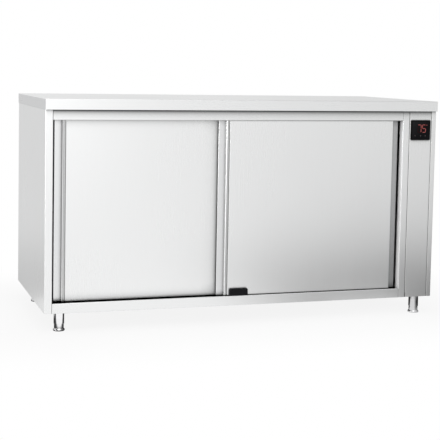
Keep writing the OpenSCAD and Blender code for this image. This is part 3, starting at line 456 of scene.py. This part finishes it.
# How much shade is painted into seams and recesses; in_the_front also paints the shadow under the worktop
in_the_front = dict(reach=0.060, open_at=0.94, shut_at=0.50, beside=under_the_worktop)
on_a_door = dict(reach=0.010, depth=0.50, open_at=0.88, shut_at=0.42)
inside = dict(colour=(0.70, 0.71, 0.72), roughness=0.38, cloud=0.06, reach=0.10, open_at=0.72, shut_at=0.15)

steel_across = satin_steel("satin_steel_across", "X")
steel_upright = satin_steel("satin_steel_upright", "Z")
steel_rail = satin_steel("satin_steel_rail", "X", depth=0.98, **in_the_front)
steel_door = satin_steel("satin_steel_door", "Z", **on_a_door)
# The rear door's face gets a painted shadow to the left of the front door
steel_rear_door_painted_shadow = satin_steel("satin_steel_rear_door", "Z", **on_a_door, beside=left_of_the_front_door)
# Darker copies of the door sheet for its recessed end strips: painted shade, darkest on the right-hand strip
steel_margin_painted_shade = satin_steel(
    "satin_steel_margin", "Z", (0.78, 0.785, 0.79), reach=0.030, depth=0.82, open_at=0.88, shut_at=0.35)
steel_far_margin_painted_shadow = satin_steel(
    "satin_steel_far_margin", "Z", (0.56, 0.565, 0.57), reach=0.034, depth=0.85, open_at=0.95, shut_at=0.35)
steel_post = satin_steel("satin_steel_post", "Z", depth=0.93, **in_the_front)
steel_panel = satin_steel("satin_steel_panel", "Z", beside=under_the_worktop)
# A darker copy of the sheet for the worktop's ends: painted shade
steel_end_painted_shade = satin_steel("satin_steel_end", "Y", (0.73, 0.735, 0.74))
# A near-white rough copy of the sheet for the post's return: a painted highlight
steel_return_painted_highlight = satin_steel("satin_steel_return", "Z", (0.98, 0.98, 0.98), 0.95, 0.02, depth=0.0)
steel_inner = satin_steel("inner_sheet_upright", "Z", **inside)
steel_inner_across = satin_steel("inner_sheet_across", "X", **inside)
zinc = plated("zinc_plate", (0.62, 0.64, 0.66), 0.40, 140)
polished = turned_metal("polished_foot", "Z", (0.90, 0.90, 0.91), 0.08, edge_tint=0.0)
turned = turned_metal("turned_shaft", "X", (0.62, 0.62, 0.63), 0.25)
wheel_sheet = plated("fan_wheel_sheet", (0.62, 0.64, 0.66), 0.36, 90)
laminations = turned_metal("laminated_stack", "X", (0.30, 0.30, 0.31), 0.50, 1600)
sheath = scorched("heater_sheath")
wool = fibre_mat("wool_mat")
black_moulding = moulding("black_moulding", (0.006, 0.006, 0.007), 0.45, gloss=0.12)
frame_black = moulding("controller_frame_black", (0.003, 0.003, 0.003), 0.30, 3000, 0.05, gloss=0.05)
charcoal_moulding = moulding("charcoal_moulding", (0.045, 0.048, 0.052), 0.50)
white_moulding = moulding("white_moulding", (0.80, 0.79, 0.75), 0.38, 1800, 0.12)
grey_moulding = moulding("grey_moulding", (0.30, 0.31, 0.32), 0.50, 1800, 0.15)
wire_sleeve = moulding("wire_sleeve", (0.62, 0.60, 0.54), 0.55, 700, 0.4)
stop_rubber = moulding("stop_rubber", (0.020, 0.020, 0.020), 0.75, 900, 0.5)
glass_low, glass_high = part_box("controller_glass")
smoked_glass = display_glass("smoked_glass", glass_low, glass_high)
digit_red = lit("digit_red", (1.0, 0.20, 0.18), 0.34)
digit_dark = moulding("unlit_segment", (0.022, 0.004, 0.004), 0.30, 1200, 0.05, gloss=0.05)
# The printed touch marks are given a faint glow, painted light that makes them read grey on the black glass
marks_painted_glow = lit("touch_mark", (0.55, 0.56, 0.58), 0.07, 0.2)


# ---------------------------------------------------------------- CAD nodes: sheets, castings and mouldings

for node, metal in {
    "worktop": steel_across, "top_rail": steel_rail, "bottom_rail": steel_rail,
    "left_side_panel": steel_upright, "right_side_panel": steel_upright, "partition": steel_post,
    "control_panel": steel_panel, "service_cover": steel_upright, "rear_panel": steel_upright,
    "base_pan": steel_across, "shelf": steel_across, "air_baffle": steel_upright,
    "left_door_skin": steel_door, "right_door_skin": steel_door,
    "left_door_back": steel_inner, "right_door_back": steel_inner,
    "left_liner": steel_inner, "rear_liner": steel_inner_across, "bay_liner": steel_inner,
    "chamber_roof": steel_inner_across, "chamber_floor": steel_inner_across,
    "worktop_stiffeners": steel_inner_across, "shelf_stiffener": steel_inner_across, "shelf_posts": steel_inner,
    "foot_plates": steel_inner_across, "door_track": zinc, "shelf_clips": zinc,
}.items():
    pressed(node, metal)

for node, metal, edge in (
    ("left_door_hangers", zinc, 0.0003), ("right_door_hangers", zinc, 0.0003),
    ("door_guide", black_moulding, 0.0008), ("track_stops", stop_rubber, 0.0010),
    ("foot_tubes", polished, 0.0004), ("front_left_foot_base", polished, 0.0004),
    ("front_right_foot_base", polished, 0.0004), ("rear_left_foot_base", polished, 0.0004),
    ("rear_right_foot_base", polished, 0.0004), ("cable_gland", black_moulding, 0.0004),
    ("controller_housing", charcoal_moulding, 0.0008), ("safety_thermostat", charcoal_moulding, 0.0005),
    ("contactor", charcoal_moulding, 0.0006), ("terminal_block", white_moulding, 0.0005),
    ("wiring_duct", grey_moulding, 0.0003), ("wires", wire_sleeve, 0.0), ("controller_glass", frame_black, 0.0006),
    ("left_door_roller_1", white_moulding, 0.0002), ("left_door_roller_2", white_moulding, 0.0002),
    ("right_door_roller_1", white_moulding, 0.0002), ("right_door_roller_2", white_moulding, 0.0002),
    ("fan_wheel", wheel_sheet, 0.0), ("fan_shaft", turned, 0.0003), ("motor_rotor", laminations, 0.0003),
    ("fan_motor", laminations, 0.0004), ("heating_element", sheath, 0.0), ("temperature_probe", turned, 0.0003),
    ("wall_insulation", wool, 0.004), ("roof_insulation", wool, 0.004), ("floor_insulation", wool, 0.004),
    ("left_door_core", wool, 0.001), ("right_door_core", wool, 0.001),
):
    pressed(node, metal, edge)


def bright_return(width=0.028):
    """The post's return beside the doors: a strip of the partition that is left rougher and given a near-white colour,
    a painted highlight where the side light falls.
    """
    piece = finished("partition")
    wall_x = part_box("partition")[0].x
    edge_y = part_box("partition")[0].y + width

    def on_the_wall(face):
        return face.normal.x < -0.9 and abs(face.center.x - wall_x) < 0.0002

    edit(piece, "FACE", on_the_wall)
    bpy.ops.mesh.bisect(plane_co=(0, edge_y, 0), plane_no=(0, 1, 0))
    close_edit()
    dress(piece, steel_return_painted_highlight, lambda face: on_the_wall(face) and face.center.y < edge_y)


def worktop_ends():
    """The worktop's ends are ground across the fold and get a darker copy of the sheet than the side panels under
    them: painted shade.
    """
    dress(finished("worktop"), steel_end_painted_shade, lambda face: abs(face.normal.x) > 0.9)


def door_margins(side, depth=0.0125, width=0.028):
    """The recessed strips at both ends of a door get darker copies of its sheet: painted shade, darkest on the
    right-hand strip.
    """
    piece = finished(side + "_door_skin")
    low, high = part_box(side + "_door_skin")

    def recessed(face):
        return face.normal.y < -0.7 and abs(face.center.y - low.y - depth) < 0.0015

    dress(piece, steel_margin_painted_shade, lambda face: recessed(face) and face.center.x < low.x + width)
    dress(piece, steel_far_margin_painted_shadow, lambda face: recessed(face) and face.center.x > high.x - width)


def rear_door_face(smallest=0.05):
    """Paints the shadow of the front door's edge onto the broad face of the rear door."""
    front_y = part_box("left_door_skin")[0].y

    def broad(face):
        return face.normal.y < -0.9 and face.area > smallest and abs(face.center.y - front_y) < 0.001

    dress(finished("left_door_skin"), steel_rear_door_painted_shadow, broad)


bright_return()
worktop_ends()
door_margins("left")
door_margins("right")
rear_door_face()


# ---------------------------------------------------------------- controller

def controller_front():
    """Makes the sunk face inside the moulded frame the glass, and returns how far forward it stands."""
    front_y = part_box("controller_glass")[0].y

    def sunk(face):
        return face.normal.y < -0.9 and 0.0003 < face.center.y - front_y < 0.002

    return dress(finished("controller_glass"), smoked_glass, sunk)[0].center.y


glass_y = controller_front()

PRINT_OFFSET = 0.0001
DIGIT_WIDTH = 0.0140
BAR_HEIGHT = 0.0150
BAR_GAP = 0.0012
BAR_HALF_WIDTH = 0.0013
BAR_HALF_THICKNESS = 0.0002
BAR_POINT = 0.00125


def on_glass(x, z):
    """A place just in front of the glass, measured from its lower left corner."""
    return glass_low.x + x, glass_y - PRINT_OFFSET, glass_low.z + z


def segment(name, centre, length, upright):
    """One bar of a digit, pointed at both ends."""
    half_x, half_z = (BAR_HALF_WIDTH, length / 2) if upright else (length / 2, BAR_HALF_WIDTH)
    half = Vector((half_x, BAR_HALF_THICKNESS, half_z))
    piece = block(name, Vector(centre) - half, Vector(centre) + half)
    axis = 2 if upright else 0

    def at_an_end(edge):
        a, b = (piece.data.vertices[i].co for i in edge.vertices)
        return abs(a.y - b.y) > 0.0001 and abs(abs(a[axis] - centre[axis]) - length / 2) < 0.0001

    edit(piece, "EDGE", at_an_end)
    bpy.ops.mesh.bevel(offset=BAR_POINT, segments=1)
    close_edit()
    return piece


def digit(name, shown, left, bottom):
    """A digit of seven bars; returns its lit and its dark bars."""
    wide, tall = DIGIT_WIDTH, BAR_HEIGHT
    bars = {
        "top": ((wide / 2, 2 * tall), False), "middle": ((wide / 2, tall), False), "bottom": ((wide / 2, 0), False),
        "left_up": ((0, 1.5 * tall), True), "left_low": ((0, 0.5 * tall), True),
        "right_up": ((wide, 1.5 * tall), True), "right_low": ((wide, 0.5 * tall), True),
    }
    lit_bars, dark_bars = [], []
    for bar, ((x, z), upright) in bars.items():
        length = (tall if upright else wide) - BAR_GAP
        piece = segment(name + "_" + bar, on_glass(left + x, bottom + z), length, upright)
        (lit_bars if bar in shown else dark_bars).append(piece)
    return lit_bars, dark_bars


SEVEN = {"top", "right_up", "right_low"}
FIVE = {"top", "left_up", "middle", "right_low", "bottom"}
tens_lit, tens_dark = digit("tens", SEVEN, 0.0305, 0.0310)
units_lit, units_dark = digit("units", FIVE, 0.0505, 0.0310)
degree = turned_blank("degree_dot", on_glass(0.0700, 0.0600), 0.0017, 0.0004, 16, "Y")
for name, bars, look in (
    ("temperature_digits", tens_lit + units_lit + [degree], digit_red),
    ("unlit_digit_bars", tens_dark + units_dark, digit_dark),
):
    shown = join(name, bars)
    shown.data.materials.append(look)
    settle(shown, "cabinet", "black_glass")


def touch_marks(height=0.0170, thickness=0.0003):
    """A ring, an arrow down and an arrow up, printed under the digits and given a faint painted glow."""
    ring = turned_blank("ring_mark", on_glass(0.0190, height), 0.0030, thickness, 28, "Y")
    edit(ring, "FACE", lambda face: abs(face.normal.y) > 0.9)
    bpy.ops.mesh.inset(thickness=0.0007)
    bpy.ops.mesh.delete(type="FACE")
    bpy.ops.mesh.select_mode(type="EDGE")
    bpy.ops.mesh.select_all(action="DESELECT")
    bpy.ops.mesh.select_non_manifold()
    bpy.ops.mesh.bridge_edge_loops()
    bpy.ops.mesh.select_all(action="SELECT")
    bpy.ops.mesh.normals_make_consistent(inside=False)
    close_edit()
    marks = [ring]
    for x, should_point_up in ((0.0430, False), (0.0640, True)):
        centre = on_glass(x, height)
        arrow = turned_blank("arrow_mark", centre, 0.0034, thickness, 3, "Y")
        heights = [corner.co.z for corner in arrow.data.vertices]
        middle = (min(heights) + max(heights)) / 2
        points_up = sum(z > middle for z in heights) == 2
        if points_up != should_point_up:
            edit(arrow, "VERT", lambda corner: True)
            bpy.ops.transform.rotate(value=math.pi, orient_axis="Y", center_override=centre)
            close_edit()
        marks.append(arrow)
    piece = join("touch_marks", marks)
    piece.data.materials.append(marks_painted_glow)
    settle(piece, "cabinet", "black_glass")


touch_marks()


# ---------------------------------------------------------------- rear cover screws

def cross_head_screws(rows=4, radius=0.0044, thickness=0.0018, shank=0.0061,
                      slot_length=0.0046, slot_width=0.0009, slot_depth=0.0013, clear_of_head=0.0010):
    """Countersunk screws with a cross recess, one modelled and copied to each hole of the cover."""
    low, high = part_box("cover_screws")
    places = [
        (x, low.z + radius + row * (high.z - low.z - 2 * radius) / (rows - 1))
        for x in (low.x + radius, high.x - radius) for row in range(rows)
    ]
    (x0, z0), back = places[0], high.y
    head = turned_blank("screw_head", (x0, back - thickness / 2, z0), radius, thickness, 24, "Y")
    edit(head, "FACE", lambda face: face.normal.y < -0.9)
    bpy.ops.transform.resize(value=(0.72, 1, 0.72), center_override=(x0, back - thickness, z0))
    bpy.ops.mesh.extrude_region_move(TRANSFORM_OT_translate={"value": (0, -shank, 0)})
    bpy.ops.transform.resize(value=(0.63, 1, 0.63), center_override=(x0, back - thickness - shank, z0))
    close_edit()
    for wide, tall in ((slot_length, slot_width), (slot_width, slot_length)):
        inner_corner = x0 - wide / 2, back - slot_depth, z0 - tall / 2
        outer_corner = x0 + wide / 2, back + clear_of_head, z0 + tall / 2
        bar = block("recess_bar", inner_corner, outer_corner)
        cut = head.modifiers.new("recess", "BOOLEAN")
        cut.operation = "DIFFERENCE"
        cut.object = bar
        cut.solver = "EXACT"
        apply_all(head)
        bpy.data.objects.remove(bar)
    soften(head, 0.0, smooth=35)
    screws = [head]
    for x, z in places[1:]:
        screw = bpy.data.objects.new("screw_head", head.data.copy())
        scene.collection.objects.link(screw)
        screw.location = (x - x0, 0, z - z0)
        only(screw)
        bpy.ops.object.transform_apply(location=True, rotation=True, scale=True)
        screws.append(screw)
    piece = join("cross_head_screws", screws)
    piece.data.materials.append(zinc)
    settle(piece, "cabinet", "zinc_plate", "cover_screws")


cross_head_screws()


# ---------------------------------------------------------------- studio

class StudioNodes(NodeTree):
    """Short calls for what the world and the floor share."""

    def backdrop(self, direction):
        """How pale the studio is seen in a direction: white in front on the left, greyer to the right and behind.

        A dark upright card stands far to the right, where only round pieces mirror it.
        """
        unit = self.new("ShaderNodeVectorMath", operation="NORMALIZE")
        self.feed(direction, unit.inputs[0])
        x, y, z = self.parts(unit.outputs["Vector"])
        across = self.ease(x, 0.05, 0.75, 1.02, 0.78)
        overhead = self.ease(z, 0.14, 0.55, 1.0, 0.78)
        low_behind = self.times(self.ease(y, -0.2, 0.6, 0.0, 1.0), self.ease(z, 0.0, 0.10, 0.24, 0.04))
        card = self.band(x, (0.76, 0.82), (0.90, 0.96), 0.50)
        return self.times(across, overhead, self.minus(1.0, low_behind), self.minus(1.0, card))

    def mirrored(self):
        path = self.new("ShaderNodeLightPath")
        return self.larger(path.outputs["Is Glossy Ray"], path.outputs["Is Transmission Ray"])

    def to_camera(self):
        return self.new("ShaderNodeLightPath").outputs["Is Camera Ray"]

    def mix(self, factor, first, second):
        node = self.new("ShaderNodeMixShader")
        for value, socket in zip((factor, first, second), node.inputs):
            self.feed(value, socket)
        return node.outputs["Shader"]


def studio_world():
    """White to the camera, shaded to mirrors, and a plain level of light to matt surfaces."""
    world = bpy.data.worlds.new("studio")
    scene.world = world
    world.use_nodes = True
    n = StudioNodes(world.node_tree)
    soft = n.tree.nodes["Background"]
    white = n.new("ShaderNodeBackground")
    shaded = n.new("ShaderNodeBackground")
    for node in (soft, white, shaded):
        node.inputs["Color"].default_value = (1, 1, 1, 1)
    soft.inputs["Strength"].default_value = 0.45
    direction = n.new("ShaderNodeTexCoord").outputs["Generated"]
    n.feed(n.backdrop(direction), shaded.inputs["Strength"])
    seen = n.mix(n.mirrored(), soft.outputs["Background"], shaded.outputs["Background"])
    seen = n.mix(n.to_camera(), seen, white.outputs["Background"])
    n.feed(seen, n.tree.nodes["World Output"].inputs["Surface"])


def whiteness(n, x, y):
    """How far the floor has run out into the white background, from a place's distance to the feet's rectangle."""
    beside = n.larger(n.minus(n.math("ABSOLUTE", x), 0.75), 0)
    before = n.larger(n.minus(n.math("ABSOLUTE", y), 0.26), 0)
    away = n.math("SQRT", n.plus(n.times(beside, beside), n.times(before, before)))
    return n.ease(away, 0.0, 0.7, 0.88, 1.0)


def mirrored_level(n, place, x, y):
    """How bright the floor is in the steel.

    The floor as the steel sees it is painted with light and shade: dusky in front on the right and behind, and a
    painted shadow under the cabinet and beside the feet, whose round tubes take their outlines from it. A painted
    bright patch lies before the front right foot.
    """
    # Painted dusk and shadow on the floor, seen only in reflections
    before_the_right = n.times(n.band(x, (-0.1, 1.3), (2.0, 3.2), 0.72), n.band(y, (-2.2, -0.8), (-0.82, -0.68)))
    before_the_rail = n.times(n.ease(x, -0.10, 0.50, 0.0, 0.42), n.ease(y, -1.7, -1.1, 0.0, 1.0))
    behind = n.band(y, (0.2, 0.4), (0.4, 2.6), 0.22)
    level = n.backdrop(place)
    for dusk in (before_the_right, before_the_rail, behind):
        level = n.times(level, n.minus(1.0, dusk))
    painted_bright_patch = n.times(n.band(y, (-0.70, -0.60), (-0.25, -0.15), 0.72), n.band(x, (0.38, 0.46), (0.72, 0.84)))

    front_edge = n.plus(n.ease(x, 0.0, 0.45, -0.34, -0.22), n.ease(x, 0.80, 0.92, 0.0, -0.26))
    side_edge = n.ease(y, -0.20, -0.10, 1.05, 0.79)
    past_front_or_back = n.larger(n.minus(front_edge, y), n.minus(y, 0.30))
    past_an_end = n.minus(n.math("ABSOLUTE", x), side_edge)
    painted_shadow_beneath = n.ease(n.larger(past_front_or_back, past_an_end), 0.0, 0.08, 0.06, 1.0)
    return n.times(n.larger(level, painted_bright_patch), painted_shadow_beneath)


def studio_floor():
    """Pale floor that keeps the shadow near the cabinet and runs out into the white background; to mirrors it shows
    painted light and shade instead.
    """
    bpy.ops.object.select_all(action="DESELECT")
    bpy.ops.mesh.primitive_circle_add(vertices=96, radius=14, fill_type="NGON", location=(0, 0, 0))
    floor = bpy.context.active_object
    floor.name = floor.data.name = "studio_floor"
    material = bpy.data.materials.new("pale_floor")
    material.use_nodes = True
    n = StudioNodes(material.node_tree)
    matt = n.tree.nodes["Principled BSDF"]
    matt.inputs["Base Color"].default_value = (0.90, 0.90, 0.90, 1)
    matt.inputs["Roughness"].default_value = 0.9
    matt.inputs["Specular IOR Level"].default_value = 0.0
    white = n.new("ShaderNodeEmission")
    shaded = n.new("ShaderNodeEmission")
    place = n.new("ShaderNodeTexCoord").outputs["Object"]
    x, y, _ = n.parts(place)
    n.feed(mirrored_level(n, place, x, y), shaded.inputs["Strength"])
    to_camera = n.times(n.to_camera(), whiteness(n, x, y))
    seen = n.mix(to_camera, matt.outputs["BSDF"], white.outputs["Emission"])
    seen = n.mix(n.mirrored(), seen, shaded.outputs["Emission"])
    n.feed(seen, n.tree.nodes["Material Output"].inputs["Surface"])
    floor.data.materials.append(material)


def soft_box(name, place, aim, size, power):
    lamp = bpy.data.lights.new(name, "AREA")
    lamp.shape = "RECTANGLE"
    lamp.size, lamp.size_y = size
    lamp.energy = power
    holder = bpy.data.objects.new(name, lamp)
    scene.collection.objects.link(holder)
    holder.location = place
    holder.rotation_euler = (Vector(aim) - Vector(place)).to_track_quat("-Z", "Y").to_euler()


studio_world()
studio_floor()
soft_box("front_box", place=(-0.9, -6.5, 1.5), aim=(-0.6, 0, 0.5), size=(3.0, 2.4), power=13)
soft_box("left_box", place=(-6.0, -2.0, 1.2), aim=(0.3, -0.3, 0.5), size=(1.6, 2.2), power=90)
soft_box("top_box", place=(-0.6, -2.6, 4.0), aim=(0, 0, 0.4), size=(3.4, 2.4), power=34)

scene.view_settings.view_transform = "Standard"
